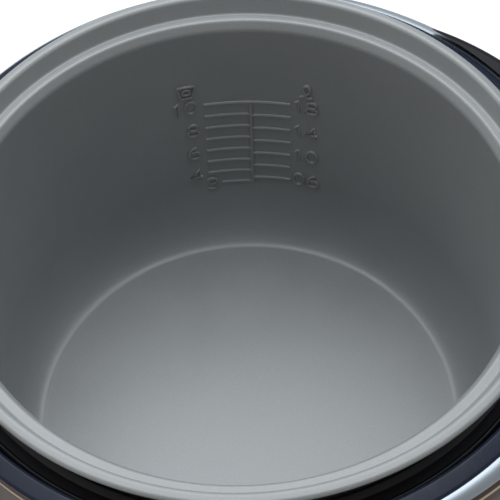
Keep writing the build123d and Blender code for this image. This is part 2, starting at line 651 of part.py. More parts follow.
def dome(shrink, mode=Mode.ADD):
    """The lid's outer shape: a low dome on the round body, with a nose over the latch."""
    side = Plane(origin=LID.from_local_coords((0, LID_BACK, 0)), x_dir=(1, 0, 0), z_dir=-LID.y_dir)
    with BuildSketch(side) as section:
        with BuildLine():
            base = Polyline((0, LID_UNDER), (SHELL_R - shrink, LID_UNDER), (SHELL_R - shrink, 8))
            crown = ThreePointArc((SHELL_R - shrink, 8), (SHELL_R - 22, 27 - shrink), (90, 36.5 - shrink))
            roof = ThreePointArc((90, 36.5 - shrink), (46, 42 - shrink), (0, LID_H - shrink))
            Line((0, LID_H - shrink), (0, LID_UNDER))
        make_face()
    revolve(section.sketch, axis=Axis(side.origin, LID.z_dir), mode=mode)
    with BuildSketch(lid_level(LID_UNDER)) as nose:
        with Locations((0, LID_FRONT + PANEL_DEPTH / 2)):
            RectangleRounded(PANEL_W - 2 * shrink, PANEL_DEPTH - 2 * shrink, PANEL_CORNER - shrink)
    extrude(nose.sketch, amount=NOSE_TOP - shrink - LID_UNDER, mode=mode)
    lid_block(NECK_W - 2 * shrink, 40, LID_UNDER, NECK_TOP - shrink, y=LID_REAR - shrink - 20, mode=mode)


with BuildPart() as lid_cover:
    dome(0.0)
    dome(LID_T, mode=Mode.SUBTRACT)
    lid_block(300, 30, LID_UNDER, LID_H, y=LID_REAR + 15, mode=Mode.SUBTRACT)
    for x in (-27.25, 27.25):
        lid_block(30.5, 8, -6, 6, x=x, y=LID_REAR + 3)
        with BuildSketch(Plane(origin=LID.from_local_coords((x, 0, 0)), x_dir=LID.y_dir,
                               z_dir=(1, 0, 0))) as barrel:
            Circle(7.5)
        extrude(barrel.sketch, amount=15.25, both=True)
    cross_rod(PIN_R + RUN_FIT, 60, HINGE_BACK, HINGE_Z, mode=Mode.SUBTRACT)
    lid_disc(STEAM_R + 2.0, 20, LID_H + 5, y=STEAM_Y, mode=Mode.SUBTRACT)
    for x, y in LID_SCREW_PLACES:
        lid_disc(4, PAN_ROOF - 10.4, NOSE_TOP - LID_T, x=x, y=y)
        lid_disc(SCREW_R, PAN_ROOF - 10.4, 8, x=x, y=y, mode=Mode.SUBTRACT)
save("lid_cover", lid_cover)

with BuildPart() as lid_liner:
    with BuildSketch(lid_level(LID_UNDER + 0.8)) as skirt:
        with Locations((0, SHELL_BACK)):
            Circle(SHELL_R - LID_T - 0.1)
        with Locations((0, LID_FRONT + PANEL_DEPTH / 2)):
            RectangleRounded(PANEL_W - 2 * LID_T, PANEL_DEPTH - 2 * LID_T, PANEL_CORNER - LID_T)
        with Locations((0, LID_REAR - LID_T - 20)):
            Rectangle(NECK_W - 2 * LID_T, 40)
        with Locations((0, LID_REAR - LID_T + 20)):
            Rectangle(300, 40, mode=Mode.SUBTRACT)
        Circle(PAN_R, mode=Mode.SUBTRACT)
    extrude(skirt.sketch, amount=2.0)
    lid_turned([
        (0, PAN_ROOF), (PAN_R, PAN_ROOF), (PAN_R, LID_UNDER + 0.8), (PAN_R + 1.6, LID_UNDER + 0.8),
        (PAN_R + 1.6, PAN_ROOF + 1.8), (0, PAN_ROOF + 1.8),
    ])
    lid_disc(8.0, PAN_ROOF - 1, PAN_ROOF + 3, y=STEAM_Y, mode=Mode.SUBTRACT)
    lid_block(22, 14, LID_UNDER, LID_UNDER + 4, y=-149, mode=Mode.SUBTRACT)
    for x, y in LID_SCREW_PLACES:
        lid_disc(3.2, LID_UNDER, LID_UNDER + 2.0, x=x, y=y, mode=Mode.SUBTRACT)
        lid_disc(SCREW_R + 0.1, LID_UNDER, LID_UNDER + 4, x=x, y=y, mode=Mode.SUBTRACT)
save("lid_liner", lid_liner)

with BuildPart() as lid_heater:
    lid_turned([(72, PAN_ROOF + 2), (112, PAN_ROOF + 2), (112, PAN_ROOF + 3), (72, PAN_ROOF + 3)])
save("lid_heater", lid_heater)

with BuildPart() as lid_screws:
    for x, y in LID_SCREW_PLACES:
        lid_disc(3.0, LID_UNDER + 0.9, LID_UNDER + 2.0, x=x, y=y)
        lid_disc(SCREW_R, LID_UNDER + 2.0, 7.5, x=x, y=y)
save("lid_screws", lid_screws)

CATCH_LOW = CATCH_Z - HINGE_Z - 2.3                      # the bar, 0.3 below the hook's nose
with BuildPart() as lid_catch:
    lid_block(20, 4.9, CATCH_LOW, CATCH_LOW + 2, y=HOOK_Y - 0.5 - 2.45)
    for x in (-9.25, 9.25):
        lid_block(1.5, 4.9, CATCH_LOW, NOSE_TOP - LID_T - 0.2, x=x, y=HOOK_Y - 0.5 - 2.45)
    lid_block(20, 12, NOSE_TOP - LID_T - 1.7, NOSE_TOP - LID_T - 0.2, y=HOOK_Y + 0.6)
save("lid_catch", lid_catch)

with BuildPart() as steam_seat:
    lid_disc(STEAM_R + 1.8, 27, 40.6, y=STEAM_Y)
    lid_disc(STEAM_R + 0.4, 28.6, 42, y=STEAM_Y, mode=Mode.SUBTRACT)
    lid_disc(8.0, 26, 30, y=STEAM_Y, mode=Mode.SUBTRACT)
save("steam_seat", steam_seat)
with BuildPart() as steam_tube:
    lid_disc(7.8, PAN_ROOF, 31, y=STEAM_Y)
    lid_disc(5.5, PAN_ROOF - 1, 32, y=STEAM_Y, mode=Mode.SUBTRACT)
save("steam_tube", steam_tube)
with BuildPart() as steam_cap:
    lid_disc(STEAM_R, 31.6, 43.0, y=STEAM_Y)
    fillet(steam_cap.faces().sort_by(Axis((0, 0, 0), LID.z_dir))[-1].edges(), 1.5)
    lid_disc(STEAM_R - 2, 31, 41, y=STEAM_Y, mode=Mode.SUBTRACT)
    with BuildSketch(lid_level(40)) as slots:
        with Locations(*[(x, STEAM_Y) for x in (-9, -3, 3, 9)]):
            SlotOverall(20, 2.4, rotation=90)
    extrude(slots.sketch, amount=6, mode=Mode.SUBTRACT)
save("steam_cap", steam_cap)

with BuildPart() as lid_spring:
    coil(Plane(origin=(-10.5, AXIS_Y + HINGE_BACK, HINGE_Z), x_dir=(0, 1, 0), z_dir=(1, 0, 0)),
         4.5, 0.8, 2.3, 21)
save("lid_spring", lid_spring)

INNER_TOP = MOUTH + 7.0
PLATE_EDGE = 112.4
with BuildPart() as inner_lid:
    lid_turned([
        (9.2, INNER_TOP - 2.0), (60, INNER_TOP - 2.4), (100, INNER_TOP - 2.0), (104, INNER_TOP),
        (PLATE_EDGE, INNER_TOP), (PLATE_EDGE, INNER_TOP + 1.0), (103.6, INNER_TOP + 1.0),
        (99.6, INNER_TOP - 1.0), (60, INNER_TOP - 1.4), (9.2, INNER_TOP - 1.0),
    ])
    with BuildSketch(lid_level(INNER_TOP - 4)) as steam_holes:
        with Locations((0, STEAM_Y)):
            with PolarLocations(6, 6):
                Circle(1.6)
    extrude(steam_holes.sketch, amount=6, mode=Mode.SUBTRACT)
save("inner_lid", inner_lid)

with BuildPart() as lid_gasket:
    lid_turned([
        (PLATE_EDGE + 0.05, INNER_TOP - 0.8), (PLATE_EDGE + 0.05, MOUTH + 2.0), (115.4, MOUTH + 3.4),
        (117.2, MOUTH + 4.8), (117.2, INNER_TOP + 1.6), (110.4, INNER_TOP + 1.6),
        (110.4, INNER_TOP + 1.05), (PLATE_EDGE + 0.05, INNER_TOP + 1.05),
    ])
save("lid_gasket", lid_gasket)

with BuildPart() as inner_lid_plug:
    lid_turned([
        (0, INNER_TOP - 4.4), (10, INNER_TOP - 4.4), (12, INNER_TOP - 3.4), (12, INNER_TOP - 2.5),
        (9.1, INNER_TOP - 2.5), (9.1, INNER_TOP - 0.9), (11, INNER_TOP - 0.9), (8, PAN_ROOF - GAP),
        (0, PAN_ROOF - GAP),
    ])
save("inner_lid_plug", inner_lid_plug)
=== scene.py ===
import json
import math

import bmesh
import bpy
from mathutils import Matrix, Vector


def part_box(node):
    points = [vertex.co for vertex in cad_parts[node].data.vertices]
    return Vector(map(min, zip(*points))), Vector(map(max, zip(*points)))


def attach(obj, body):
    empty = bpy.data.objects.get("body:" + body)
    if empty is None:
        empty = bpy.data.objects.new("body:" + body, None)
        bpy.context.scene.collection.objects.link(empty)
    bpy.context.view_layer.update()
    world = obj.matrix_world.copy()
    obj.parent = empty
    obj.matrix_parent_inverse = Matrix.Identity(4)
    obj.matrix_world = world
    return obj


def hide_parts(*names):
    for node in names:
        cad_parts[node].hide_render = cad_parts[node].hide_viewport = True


bl_info = {
    "name": "Hinged-lid rice cooker",
    "version": (1, 0, 0),
    "blender": (4, 5, 0),
    "location": "3D View > Sidebar > Cooker",
    "description": "Builds the finished surfaces of a rice cooker round its packed CAD frame",
    "category": "Object",
}

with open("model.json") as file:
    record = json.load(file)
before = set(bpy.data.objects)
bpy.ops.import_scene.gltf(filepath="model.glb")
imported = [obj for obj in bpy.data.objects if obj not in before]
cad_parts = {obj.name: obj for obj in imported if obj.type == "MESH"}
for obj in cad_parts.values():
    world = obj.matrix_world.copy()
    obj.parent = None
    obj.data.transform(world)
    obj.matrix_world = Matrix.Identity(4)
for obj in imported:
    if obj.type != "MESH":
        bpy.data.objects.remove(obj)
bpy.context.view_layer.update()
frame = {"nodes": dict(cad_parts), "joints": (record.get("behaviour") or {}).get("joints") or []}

# The pot's upright axis and the height of its wall top are read from the frame.
POT_LOW, POT_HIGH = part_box("inner_pot")
AXIS = Vector(((POT_LOW.x + POT_HIGH.x) / 2, (POT_LOW.y + POT_HIGH.y) / 2, 0.0))
LIP_R = (POT_HIGH.x - POT_LOW.x) / 2
MM = 0.001
LIP_RISE = 12 * MM                   # from the wall top to the top of the rolled lip
WALL_TOP = POT_HIGH.z - LIP_RISE
DECK_LOW, DECK_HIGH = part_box("deck_ring")
DECK_R = (DECK_HIGH.x - DECK_LOW.x) / 2
SHELL_LOW, SHELL_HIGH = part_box("body_shell")
SHELL_R = (SHELL_HIGH.x - SHELL_LOW.x) / 2
SHELL_BACK = (SHELL_HIGH.y + SHELL_LOW.y) / 2 - AXIS.y      # the body's centre behind the pot's
LID_JOINT = next(j for j in frame["joints"] if j["name"] == "lid_hinge")
LID_TURN = -math.radians(LID_JOINT["range_deg"][0])
# At rest the lid stands open, so down in the closed lid points along UNDER_LID.
LID_TURN_BACK = Matrix.Rotation(-LID_TURN, 3, "X")
UNDER_LID = (LID_TURN_BACK @ Vector((0, 0, -1))).normalized()

# Measures of the level scale on the pot's wall.
AWAY_TURN = math.radians(170)        # direction of the scale's middle, seen from the axis
TOP_LINE_DROP = 45.9 * MM            # top line below the wall top
CUP_LINES, CUP_PITCH = 7, 7.93 * MM
LITRE_LINES, LITRE_PITCH = 7, 8.8 * MM
WALL_TAPER = 3.4 * MM                # the wall's radius is this much less at the floor
FIGURE_HEIGHT = 7.6 * MM


# --- sizes and colours a user would change --------------------------------------------------
class PotSettings(bpy.types.PropertyGroup):
    """The lift-out pot."""
    wall_r: bpy.props.FloatProperty(
        name="Wall radius", description="Inside radius at the top of the wall",
        default=0.112, unit="LENGTH")
    depth: bpy.props.FloatProperty(
        name="Depth", description="From the wall top to the floor", default=0.136, unit="LENGTH")
    thickness: bpy.props.FloatProperty(
        name="Thickness", description="Sheet thickness of the pot", default=0.002, unit="LENGTH")
    coating: bpy.props.FloatVectorProperty(
        name="Coating", description="Colour of the non-stick coating", subtype="COLOR", size=3,
        default=(0.222, 0.232, 0.236), min=0, max=1)
    scale_rise: bpy.props.FloatProperty(
        name="Scale relief", description="How far the level lines stand out", default=0.0008,
        unit="LENGTH")


class BodySettings(bpy.types.PropertyGroup):
    """The fixed body round the pot."""
    deck: bpy.props.FloatVectorProperty(
        name="Deck", description="Colour of the glossy deck", subtype="COLOR", size=3,
        default=(0.012, 0.016, 0.03), min=0, max=1)
    collar: bpy.props.FloatVectorProperty(
        name="Collar", description="Colour of the recessed collar", subtype="COLOR", size=3,
        default=(0.006, 0.006, 0.009), min=0, max=1)
    steel: bpy.props.FloatVectorProperty(
        name="Steel", description="Colour of the steel wall", subtype="COLOR", size=3,
        default=(0.36, 0.4, 0.445), min=0, max=1)
    housing: bpy.props.FloatVectorProperty(
        name="Housing", description="Colour of the front housing", subtype="COLOR", size=3,
        default=(0.06, 0.033, 0.023), min=0, max=1)


class LidSettings(bpy.types.PropertyGroup):
    """The hinged lid."""
    cover: bpy.props.FloatVectorProperty(
        name="Cover", description="Colour of the lid's outer cover", subtype="COLOR", size=3,
        default=(0.012, 0.016, 0.03), min=0, max=1)
    liner: bpy.props.FloatVectorProperty(
        name="Liner", description="Colour of the lid's grey underside", subtype="COLOR", size=3,
        default=(0.13, 0.14, 0.15), min=0, max=1)


class StageSettings(bpy.types.PropertyGroup):
    """Floor, light and camera."""
    floor: bpy.props.FloatVectorProperty(
        name="Floor", description="Colour of the floor", subtype="COLOR", size=3,
        default=(0.9, 0.9, 0.9), min=0, max=1)
    key_power: bpy.props.FloatProperty(
        name="Key light", description="Power of the large soft light", default=51.0, unit="POWER")
    ambient: bpy.props.FloatProperty(
        name="Ambient", description="Strength of the pale surroundings", default=0.37)


# --- materials ------------------------------------------------------------------------------
def new_material(name):
    """A material with an empty node tree ending in a Principled shader."""
    material = bpy.data.materials.new(name)
    material.use_nodes = True
    tree = material.node_tree
    tree.nodes.clear()
    output = tree.nodes.new("ShaderNodeOutputMaterial")
    shader = tree.nodes.new("ShaderNodeBsdfPrincipled")
    tree.links.new(shader.outputs["BSDF"], output.inputs["Surface"])
    return material, tree, shader


def object_vector(tree, stretch=(1, 1, 1)):
    """Object coordinates, stretched."""
    place = tree.nodes.new("ShaderNodeTexCoord")
    mapping = tree.nodes.new("ShaderNodeMapping")
    mapping.inputs["Scale"].default_value = stretch
    tree.links.new(place.outputs["Object"], mapping.inputs["Vector"])
    return mapping.outputs["Vector"]


def noise(tree, vector, scale, detail=3.0, rough=0.55):
    """A noise pattern's grey value."""
    node = tree.nodes.new("ShaderNodeTexNoise")
    node.inputs["Scale"].default_value = scale
    node.inputs["Detail"].default_value = detail
    node.inputs["Roughness"].default_value = rough
    tree.links.new(vector, node.inputs["Vector"])
    return node.outputs["Fac"]


def remap(tree, value, low, high, start=0.3, stop=0.7):
    """value from start..stop to low..high."""
    node = tree.nodes.new("ShaderNodeMapRange")
    node.inputs["From Min"].default_value = start
    node.inputs["From Max"].default_value = stop
    node.inputs["To Min"].default_value = low
    node.inputs["To Max"].default_value = high
    tree.links.new(value, node.inputs["Value"])
    return node.outputs["Result"]


def two_colours(tree, factor, first, second):
    """Mix two colours by a grey value."""
    node = tree.nodes.new("ShaderNodeMix")
    node.data_type = "RGBA"
    node.inputs["A"].default_value = (*first, 1)
    node.inputs["B"].default_value = (*second, 1)
    tree.links.new(factor, node.inputs["Factor"])
    return node.outputs["Result"]


def bump(tree, shader, *layers):
    """Chain bumps of (height value, distance in metres, strength) into the shader's normal."""
    last = None
    for height, distance, strength in layers:
        node = tree.nodes.new("ShaderNodeBump")
        node.inputs["Distance"].default_value = distance
        node.inputs["Strength"].default_value = strength
        tree.links.new(height, node.inputs["Height"])
        if last:
            tree.links.new(last, node.inputs["Normal"])
        last = node.outputs["Normal"]
    tree.links.new(last, shader.inputs["Normal"])


def shade(colour, factor):
    """A colour made darker or lighter."""
    return tuple(min(1.0, c * factor) for c in colour)


def coated(name, colour, roughness, grain=900.0, grain_depth=0.00004, metallic=0.0, spread=0.12,
           speck=0.0):
    """A sprayed or moulded finish: fine grain, slow cloudy variation and optional specks."""
    material, tree, shader = new_material(name)
    vector = object_vector(tree)
    cloud = noise(tree, vector, 14.0, 4.0)
    fine = noise(tree, vector, grain, 2.0)
    tint = two_colours(tree, remap(tree, cloud, 0, 1), shade(colour, 1 - spread),
                       shade(colour, 1 + spread))
    if speck:
        flake = noise(tree, vector, 2600.0, 1.0)
        mask = remap(tree, flake, 0.0, speck, 0.62, 0.78)
        node = tree.nodes.new("ShaderNodeMix")
        node.data_type = "RGBA"
        node.inputs["B"].default_value = (0.75, 0.76, 0.78, 1)
        tree.links.new(mask, node.inputs["Factor"])
        tree.links.new(tint, node.inputs["A"])
        tint = node.outputs["Result"]
    tree.links.new(tint, shader.inputs["Base Color"])
    tree.links.new(remap(tree, cloud, roughness * 0.88, roughness * 1.12), shader.inputs["Roughness"])
    shader.inputs["Metallic"].default_value = metallic
    bump(tree, shader, (fine, grain_depth, 0.6))
    return material


def glossy_plastic(name, colour, roughness=0.12, coat=0.6):
    """Polished moulding: faint swirl marks in the clear top layer and slight orange peel."""
    material, tree, shader = new_material(name)
    vector = object_vector(tree)
    cloud = noise(tree, vector, 9.0, 3.0)
    peel = noise(tree, vector, 160.0, 2.0)
    smear = noise(tree, object_vector(tree, (1, 3, 1)), 60.0, 5.0, 0.7)
    tree.links.new(two_colours(tree, remap(tree, cloud, 0, 1), shade(colour, 0.85), shade(colour, 1.2)),
                   shader.inputs["Base Color"])
    tree.links.new(remap(tree, smear, roughness * 0.75, roughness * 1.5), shader.inputs["Roughness"])
    shader.inputs["Coat Weight"].default_value = coat
    shader.inputs["Coat Roughness"].default_value = 0.06
    bump(tree, shader, (peel, 0.00006, 0.25))
    return material


def principled(material):
    """The material's Principled shader."""
    return next(n for n in material.node_tree.nodes if n.type == "BSDF_PRINCIPLED")


def faint(material, level):
    """The same material with a weaker reflection."""
    principled(material).inputs["Specular IOR Level"].default_value = level
    return material


def brushed(name, colour, roughness=0.26, stretch=(3, 3, 1100), tint=0.1):
    """Brushed metal: hair lines along the surface in both colour and roughness."""
    material, tree, shader = new_material(name)
    hair = noise(tree, object_vector(tree, stretch), 1.0, 6.0, 0.7)
    cloud = noise(tree, object_vector(tree), 7.0, 3.0)
    tree.links.new(two_colours(tree, remap(tree, hair, 0, 1, 0.25, 0.75), shade(colour, 1 - tint),
                               shade(colour, 1 + tint)), shader.inputs["Base Color"])
    blend = tree.nodes.new("ShaderNodeMath")
    blend.operation = "ADD"
    tree.links.new(remap(tree, hair, -0.06, 0.06, 0.25, 0.75), blend.inputs[0])
    tree.links.new(remap(tree, cloud, roughness * 0.9, roughness * 1.12), blend.inputs[1])
    tree.links.new(blend.outputs[0], shader.inputs["Roughness"])
    shader.inputs["Metallic"].default_value = 1.0
    bump(tree, shader, (hair, 0.00003, 0.35))
    return material


def turned_metal(name, colour, centre, roughness=0.25, pitch=1400.0):
    """Spun or machined metal with fine rings round an upright axis at centre."""
    material, tree, shader = new_material(name)
    place = tree.nodes.new("ShaderNodeTexCoord")
    mapping = tree.nodes.new("ShaderNodeMapping")
    mapping.inputs["Location"].default_value = tuple(-c for c in centre)
    tree.links.new(place.outputs["Object"], mapping.inputs["Vector"])
    rings = tree.nodes.new("ShaderNodeTexWave")
    rings.wave_type = "RINGS"
    rings.rings_direction = "SPHERICAL"
    rings.inputs["Scale"].default_value = pitch / 6
    rings.inputs["Distortion"].default_value = 2.0
    rings.inputs["Detail"].default_value = 4.0
    tree.links.new(mapping.outputs["Vector"], rings.inputs["Vector"])
    cloud = noise(tree, object_vector(tree), 20.0, 4.0)
    tree.links.new(two_colours(tree, rings.outputs["Fac"], shade(colour, 0.9), shade(colour, 1.08)),
                   shader.inputs["Base Color"])
    tree.links.new(remap(tree, cloud, roughness * 0.85, roughness * 1.3), shader.inputs["Roughness"])
    shader.inputs["Metallic"].default_value = 1.0
    bump(tree, shader, (rings.outputs["Fac"], 0.00002, 0.4))
    return material


# --- mesh helpers ---------------------------------------------------------------------------
def add_object(name, mesh, material, body, cad_nodes=(), smooth=True):
    """Link a finished mesh, give it its material and tie it to its CAD body."""
    piece = bpy.data.objects.new(name, mesh)
    bpy.context.scene.collection.objects.link(piece)
    if smooth:
        mesh.polygons.foreach_set("use_smooth", [True] * len(mesh.polygons))
    if not mesh.materials:
        mesh.materials.append(material)
    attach(piece, body)
    if cad_nodes:
        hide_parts(*cad_nodes)
    return piece


def rounded(points, steps=8):
    """Turn (radius, height, fillet) corners into a smooth line of (radius, height) points."""
    line = []
    last = len(points) - 1
    for i, (r, z, fillet) in enumerate(points):
        if i in (0, last) or fillet <= 0:
            line.append((r, z))
            continue
        here = Vector((r, z))
        back = Vector(points[i - 1][:2]) - here
        ahead = Vector(points[i + 1][:2]) - here
        half = back.angle(ahead) / 2
        reach = min(fillet / math.tan(half), back.length * 0.49, ahead.length * 0.49)
        radius = reach * math.tan(half)
        start, stop = here + back.normalized() * reach, here + ahead.normalized() * reach
        centre = here + (back.normalized() + ahead.normalized()).normalized() * radius / math.sin(half)
        first, second = start - centre, stop - centre
        sweep = first.angle_signed(second)
        for k in range(steps + 1):
            spoke = first.copy()
            spoke.rotate(Matrix.Rotation(-sweep * k / steps, 2))
            line.append(tuple(centre + spoke))
    return line


def lathe(outline, centre, segments=288, closed=True):
    """Revolve (radius, height) points about an upright axis at centre into a mesh."""
    work = bmesh.new()
    rings = []
    for r, z in outline:
        if r < 1e-7:
            rings.append([work.verts.new((centre.x, centre.y, z))] * segments)
            continue
        rings.append([
            work.verts.new((centre.x + r * math.cos(a), centre.y + r * math.sin(a), z))
            for a in (2 * math.pi * s / segments for s in range(segments))
        ])
    pairs = list(zip(rings, rings[1:]))
    if closed:
        pairs.append((rings[-1], rings[0]))
    for low, high in pairs:
        for s in range(segments):
            t = (s + 1) % segments
            corners = [low[s], low[t], high[t], high[s]]
            unique = [v for i, v in enumerate(corners) if v not in corners[:i]]
            if len(unique) > 2:
                work.faces.new(unique)
    bmesh.ops.recalc_face_normals(work, faces=work.faces)
    mesh = bpy.data.meshes.new("turned")
    work.to_mesh(mesh)
    work.free()
    return mesh


def plain_mesh(piece):
    """Turn an evaluated object into a plain mesh and drop its modifiers."""
    graph = bpy.context.evaluated_depsgraph_get()
    mesh = bpy.data.meshes.new_from_object(
        piece.evaluated_get(graph), preserve_all_data_layers=True, depsgraph=graph)
    piece.modifiers.clear()
    return mesh


def run_tree(tree, mesh, **values):
    """Run a node tree on a mesh, with its named inputs set, and return the plain mesh."""
    holder = bpy.data.objects.new("holder", mesh)
    bpy.context.scene.collection.objects.link(holder)
    modifier = holder.modifiers.new("tree", "NODES")
    modifier.node_group = tree
    sockets = {s.name: s.identifier for s in tree.interface.items_tree
               if s.item_type == "SOCKET" and s.in_out == "INPUT"}
    for name, value in values.items():
        modifier[sockets[name.replace("_", " ")]] = value
    result = plain_mesh(holder)
    bpy.data.objects.remove(holder)
    return result


class Tree:
    """A small hand for wiring a Geometry Nodes tree."""

    def __init__(self, name, inputs):
        self.tree = bpy.data.node_groups.new(name, "GeometryNodeTree")
        face = self.tree.interface
        face.new_socket("Geometry", in_out="INPUT", socket_type="NodeSocketGeometry")
        for label, kind, default in inputs:
            socket = face.new_socket(label, in_out="INPUT", socket_type="NodeSocket" + kind)
            if default is not None:
                socket.default_value = default
        face.new_socket("Geometry", in_out="OUTPUT", socket_type="NodeSocketGeometry")
        self.given = self.tree.nodes.new("NodeGroupInput")
        self.result = self.tree.nodes.new("NodeGroupOutput")

    def node(self, kind, settings=None, **inputs):
        """Add a node. An input is a socket to link or a value; i0, i1... pick it by number."""
        node = self.tree.nodes.new(kind)
        for key, value in (settings or {}).items():
            setattr(node, key, value)
        for key, value in inputs.items():
            numbered = key[0] == "i" and key[1:].isdigit()
            socket = node.inputs[int(key[1:]) if numbered else key.replace("_", " ")]
            if isinstance(value, bpy.types.NodeSocket):
                self.tree.links.new(value, socket)
            else:
                socket.default_value = value
        return node

    def math(self, operation, first, second=0.0):
        """The result of one sum of two sockets or values."""
        return self.node("ShaderNodeMath", {"operation": operation}, i0=first, i1=second).outputs[0]

    def finish(self, geometry, material):
        """Realize, set the material and end the tree."""
        real = self.node("GeometryNodeRealizeInstances", Geometry=geometry)
        made = self.node("GeometryNodeSetMaterial", Geometry=real.outputs[0], Material=material)
        self.tree.links.new(made.outputs[0], self.result.inputs[0])
        return self.tree


def level_line_tree():
    """Evenly spaced raised arcs on the inside of a tapering round wall."""
    t = Tree("Level lines", [
        ("Lines", "Int", 7), ("Pitch", "Float", 0.008), ("Top", "Float", 0.16),
        ("Start angle", "Float", 0.0), ("Sweep", "Float", 0.1), ("Radius", "Float", 0.112),
        ("Taper", "Float", 0.025), ("Wall top", "Float", 0.207), ("Bead", "Float", 0.001),
        ("Relief", "Float", 0.0004), ("Axis", "Vector", (0, 0, 0)), ("Material", "Material", None)])
    given = t.given.outputs
    start = t.node("ShaderNodeCombineXYZ", Z=given["Top"]).outputs[0]
    step = t.node("ShaderNodeCombineXYZ", Z=t.math("MULTIPLY", given["Pitch"], -1.0)).outputs[0]
    marks = t.node("GeometryNodeMeshLine", Count=given["Lines"], Start_Location=start, Offset=step)
    arc = t.node("GeometryNodeCurveArc", Resolution=28, Radius=given["Radius"],
                 Start_Angle=given["Start angle"], Sweep_Angle=given["Sweep"])
    placed = t.node("GeometryNodeInstanceOnPoints", Points=marks.outputs[0], Instance=arc.outputs[0])
    real = t.node("GeometryNodeRealizeInstances", Geometry=placed.outputs[0])
    section = t.node("GeometryNodeCurvePrimitiveCircle", Resolution=12,
                     Radius=t.math("MULTIPLY", given["Bead"], 0.5))
    swept = t.node("GeometryNodeCurveToMesh", Curve=real.outputs[0], Profile_Curve=section.outputs[0],
                   Fill_Caps=True)
    place = t.node("GeometryNodeInputPosition").outputs[0]
    split = t.node("ShaderNodeSeparateXYZ", Vector=place)
    flat = t.node("ShaderNodeCombineXYZ", X=split.outputs["X"], Y=split.outputs["Y"]).outputs[0]
    reach = t.node("ShaderNodeVectorMath", {"operation": "LENGTH"}, i0=flat).outputs["Value"]
    drop = t.math("SUBTRACT", split.outputs["Z"], given["Wall top"])
    wall = t.math("ADD", given["Radius"], t.math("MULTIPLY", drop, given["Taper"]))
    squeeze = t.math("DIVIDE", t.math("MULTIPLY", given["Relief"], 2.0), given["Bead"])
    out = t.math("ADD", wall, t.math("MULTIPLY", t.math("SUBTRACT", reach, given["Radius"]), squeeze))
    scale = t.math("DIVIDE", out, reach)
    moved = t.node("ShaderNodeVectorMath", {"operation": "SCALE"}, i0=flat, Scale=scale).outputs[0]
    raised = t.node("ShaderNodeVectorMath", {"operation": "ADD"}, i0=moved,
                    i1=t.node("ShaderNodeCombineXYZ", Z=split.outputs["Z"]).outputs[0]).outputs[0]
    final = t.node("ShaderNodeVectorMath", {"operation": "ADD"}, i0=raised, i1=given["Axis"]).outputs[0]
    shaped = t.node("GeometryNodeSetPosition", Geometry=swept.outputs[0], Position=final)
    return t.finish(shaped.outputs[0], given["Material"])


def arc_points(x, y, rx, ry, start, stop, steps=14):
    """Points on an ellipse from start to stop degrees."""
    turns = [math.radians(start + (stop - start) * k / steps) for k in range(steps + 1)]
    return [(x + rx * math.cos(turn), y + ry * math.sin(turn)) for turn in turns]


# Strokes of each figure in a box one unit high, and the figure's width.
FIGURES = {
    "0": ([arc_points(0.34, 0.5, 0.34, 0.5, 0, 360, 28)], 0.68),
    "1": ([[(0.0, 0.78), (0.2, 1.0), (0.2, 0.0)]], 0.24),
    "3": ([arc_points(0.3, 0.74, 0.3, 0.26, 150, -90)
           + arc_points(0.3, 0.25, 0.34, 0.25, 90, -150)], 0.66),
    "4": ([[(0.5, 0.0), (0.5, 1.0), (0.0, 0.3), (0.7, 0.3)]], 0.72),
    "6": ([arc_points(0.34, 0.3, 0.34, 0.3, 0, 360, 26),
           arc_points(0.62, 0.36, 0.62, 0.64, 180, 100, 10)], 0.68),
    "8": ([arc_points(0.34, 0.76, 0.28, 0.24, 0, 360, 24),
           arc_points(0.34, 0.26, 0.34, 0.26, 0, 360, 26)], 0.68),
    ".": ([[(0.04, 0.02), (0.06, 0.02)]], 0.12),
}


def relief_mesh(strokes, bead, radius_at, height_zero, angle_zero, centre, relief):
    """Beads along flat strokes (across, up), wrapped on the inside of the round wall."""
    curve = bpy.data.curves.new("strokes", "CURVE")
    curve.dimensions = "3D"
    curve.bevel_depth = bead / 2
    curve.bevel_resolution = 4
    curve.use_fill_caps = True
    for points in strokes:
        closed = (Vector(points[0]) - Vector(points[-1])).length < 1e-6
        run = points[:-1] if closed else points
        spline = curve.splines.new("POLY")
        spline.points.add(len(run) - 1)
        for point, (across, up) in zip(spline.points, run):
            point.co = (across, up, 0, 1)
        spline.use_cyclic_u = closed
    holder = bpy.data.objects.new("strokes", curve)
    bpy.context.scene.collection.objects.link(holder)
    mesh = plain_mesh_of_curve(holder)
    bpy.data.objects.remove(holder)
    squeeze = relief / (bead / 2)
    for vertex in mesh.vertices:
        across, up, out = vertex.co
        z = height_zero + up
        r = radius_at(z) - out * squeeze
        turn = angle_zero - across / radius_at(z)
        vertex.co = (centre.x + r * math.cos(turn), centre.y + r * math.sin(turn), z)
    work = bmesh.new()
    work.from_mesh(mesh)
    bmesh.ops.recalc_face_normals(work, faces=work.faces)
    work.to_mesh(mesh)
    work.free()
    return mesh


def plain_mesh_of_curve(holder):
    """The solid mesh of a bevelled curve object."""
    graph = bpy.context.evaluated_depsgraph_get()
    return bpy.data.meshes.new_from_object(holder.evaluated_get(graph), depsgraph=graph)


